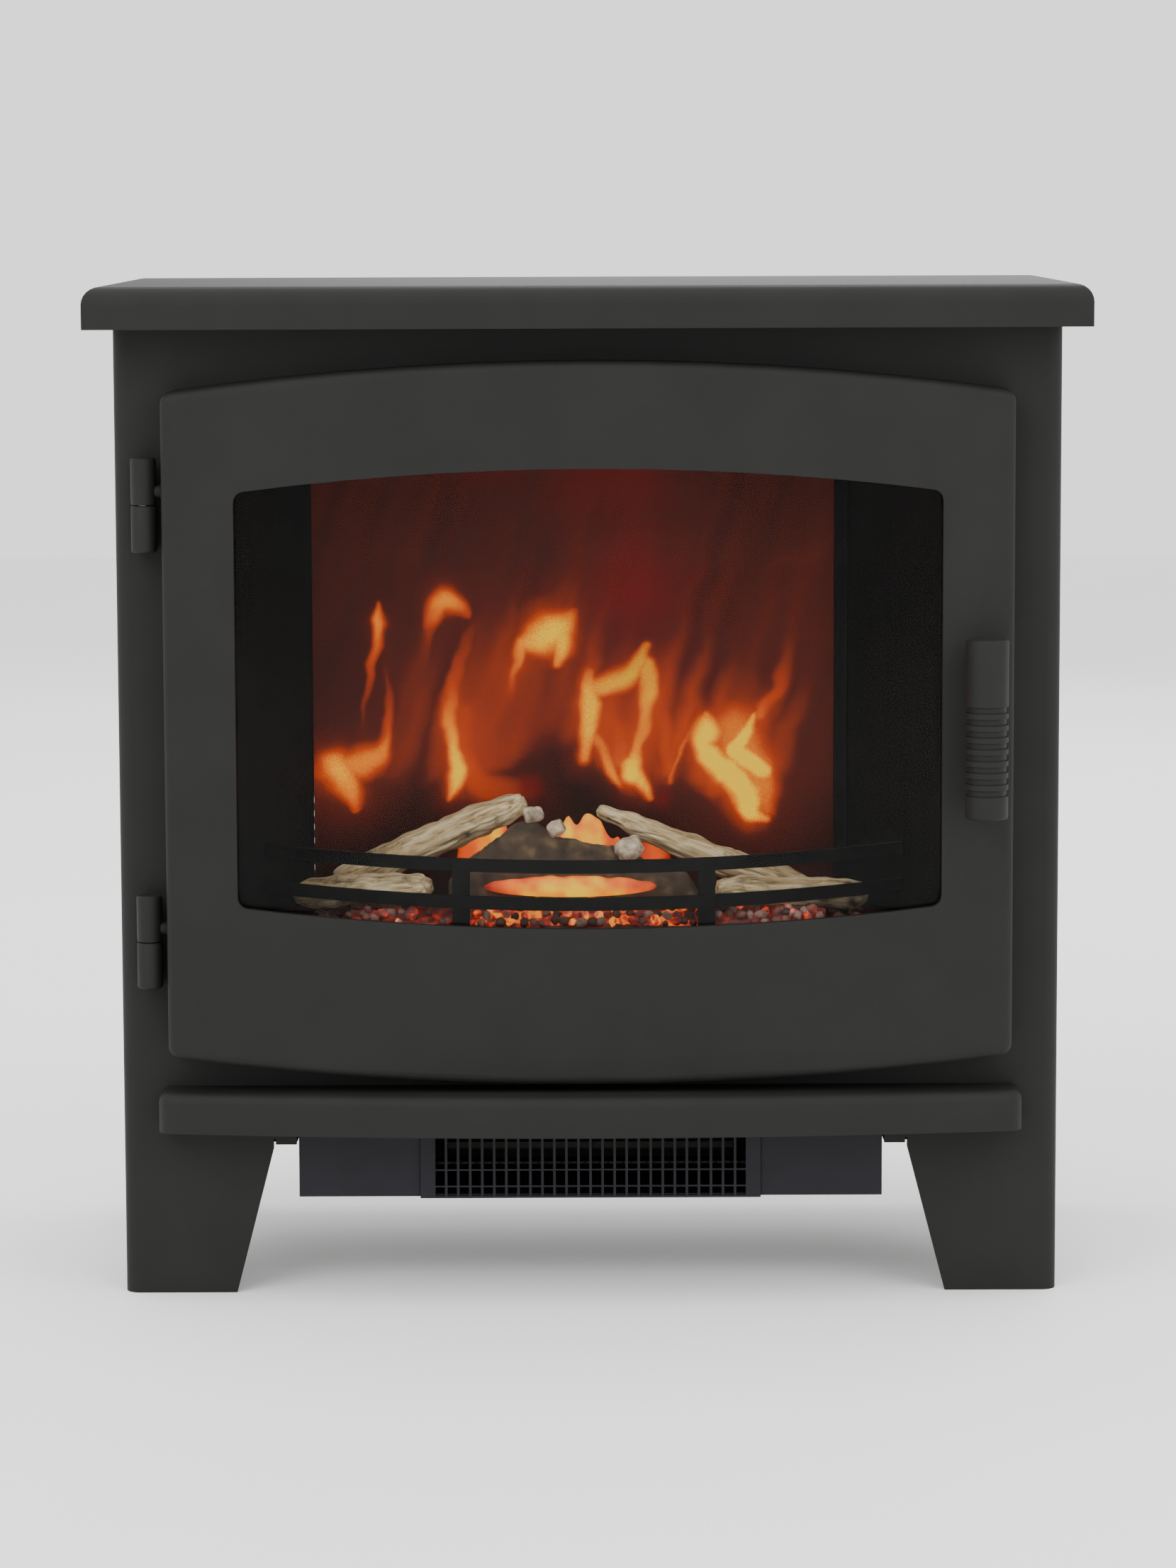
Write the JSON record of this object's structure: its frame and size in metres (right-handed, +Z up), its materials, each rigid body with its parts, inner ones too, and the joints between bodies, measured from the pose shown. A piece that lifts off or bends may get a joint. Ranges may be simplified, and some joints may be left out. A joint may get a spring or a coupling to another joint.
{
  "type": "electric fireplace",
  "caption": "Freestanding electric stove with a glazed side-hinged door, lever handle, flame-effect firebox with logs and a fan heater slung between four folded legs.",
  "frame": {"origin": "on the floor, under the middle of the stove's bounding box", "axes": "+Z up, +X to the right as seen from the front, -Y out of the front door"},
  "size_m": [0.6, 0.3346, 0.615],
  "materials": {
    "coated_steel": "matt charcoal powder coat on steel",
    "black_steel": "matt black heat-resistant paint on sheet steel",
    "heater_paint": "satin blue-black paint on sheet steel",
    "steel": "zinc-plated steel",
    "aluminium": "bright rolled sheet",
    "brass": "turned brass",
    "glass": "clear toughened glass",
    "acrylic": "smoked diffusing screen lit from behind by the flame effect",
    "rubber": "black silicone",
    "ember_resin": "amber resin ember bed lit from below",
    "pale_wood": "painted moulded resin driftwood log",
    "charred_wood": "painted moulded resin charred log",
    "stone": "painted moulded resin pebble",
    "circuit": "solder-masked circuit board",
    "black_plastic": "moulded black plastic"
  },
  "bodies": {
    "casing": {"top_plate": "coated_steel", "front_fascia": "coated_steel", "left_side_panel": "coated_steel", "right_side_panel": "coated_steel", "hearth_shelf": "coated_steel", "upper_casing_knuckle": "coated_steel", "lower_casing_knuckle": "coated_steel", "back_panel": "black_steel", "base_plate": "black_steel", "left_liner": "black_steel", "right_liner": "black_steel", "firebox_ceiling": "black_steel", "firebox_floor": "black_steel", "fire_fret": "black_steel", "heater_housing": "heater_paint", "heater_grille": "heater_paint", "upper_hinge_pin": "steel", "lower_hinge_pin": "steel", "left_spinner_bracket": "steel", "right_spinner_bracket": "steel", "spinner_motor": "steel", "fan_bearing_plate": "steel", "fan_motor": "steel", "heating_element": "steel", "flame_mask": "aluminium", "flame_screen": "acrylic", "cable_gland": "rubber", "ember_bed": "ember_resin", "left_log": "pale_wood", "right_log": "pale_wood", "left_front_log": "pale_wood", "right_front_log": "pale_wood", "charred_log": "charred_wood", "left_stone": "stone", "middle_stone": "stone", "right_stone": "stone", "flame_led_strip": "circuit", "ember_led_strip": "circuit", "control_board": "circuit", "screen_edge_trim": "black_plastic", "control_panel": "black_plastic", "thermal_cutout": "black_plastic", "terminal_block": "black_plastic"},
    "door": {"door_frame": "coated_steel", "door_glass": "glass", "glass_gasket": "rubber", "upper_glass_retainer": "steel", "lower_glass_retainer": "steel", "upper_door_knuckle": "coated_steel", "lower_door_knuckle": "coated_steel", "handle_bush": "brass"},
    "handle": {"handle_grip": "coated_steel", "handle_spindle": "steel", "latch_cam": "steel", "spindle_nut": "steel"},
    "spinner": {"flame_spinner": "aluminium"},
    "fan": {"fan_rotor": "aluminium"},
    "rocker_power": {"rocker_power": "black_plastic"},
    "rocker_low_heat": {"rocker_low_heat": "black_plastic"},
    "rocker_high_heat": {"rocker_high_heat": "black_plastic"}
  },
  "joints": [
    {"name": "door_hinge", "type": "hinge", "parent": "casing", "child": "door", "pos_m": [-0.2665, -0.1162, 0.352], "axis": [0, 0, -1], "range_deg": [0, 110]},
    {"name": "handle_turn", "type": "hinge", "parent": "door", "child": "handle", "pos_m": [0.2368, -0.1545, 0.3855], "axis": [0, 1, 0], "range_deg": [0, 90]},
    {"name": "spinner_spin", "type": "hinge", "parent": "casing", "child": "spinner", "pos_m": [0, 0.0863, 0.245], "axis": [1, 0, 0], "continuous": true},
    {"name": "fan_spin", "type": "hinge", "parent": "casing", "child": "fan", "pos_m": [0, -0.0417, 0.096], "axis": [1, 0, 0], "continuous": true},
    {"name": "rocker_power_rock", "type": "hinge", "parent": "casing", "child": "rocker_power", "pos_m": [0.11, -0.09845, 0.177], "axis": [0, 0, -1], "range_deg": [0, 12]},
    {"name": "rocker_low_heat_rock", "type": "hinge", "parent": "casing", "child": "rocker_low_heat", "pos_m": [0.14, -0.09845, 0.177], "axis": [0, 0, -1], "range_deg": [0, 12]},
    {"name": "rocker_high_heat_rock", "type": "hinge", "parent": "casing", "child": "rocker_high_heat", "pos_m": [0.17, -0.09845, 0.177], "axis": [0, 0, -1], "range_deg": [0, 12]}
  ]
}
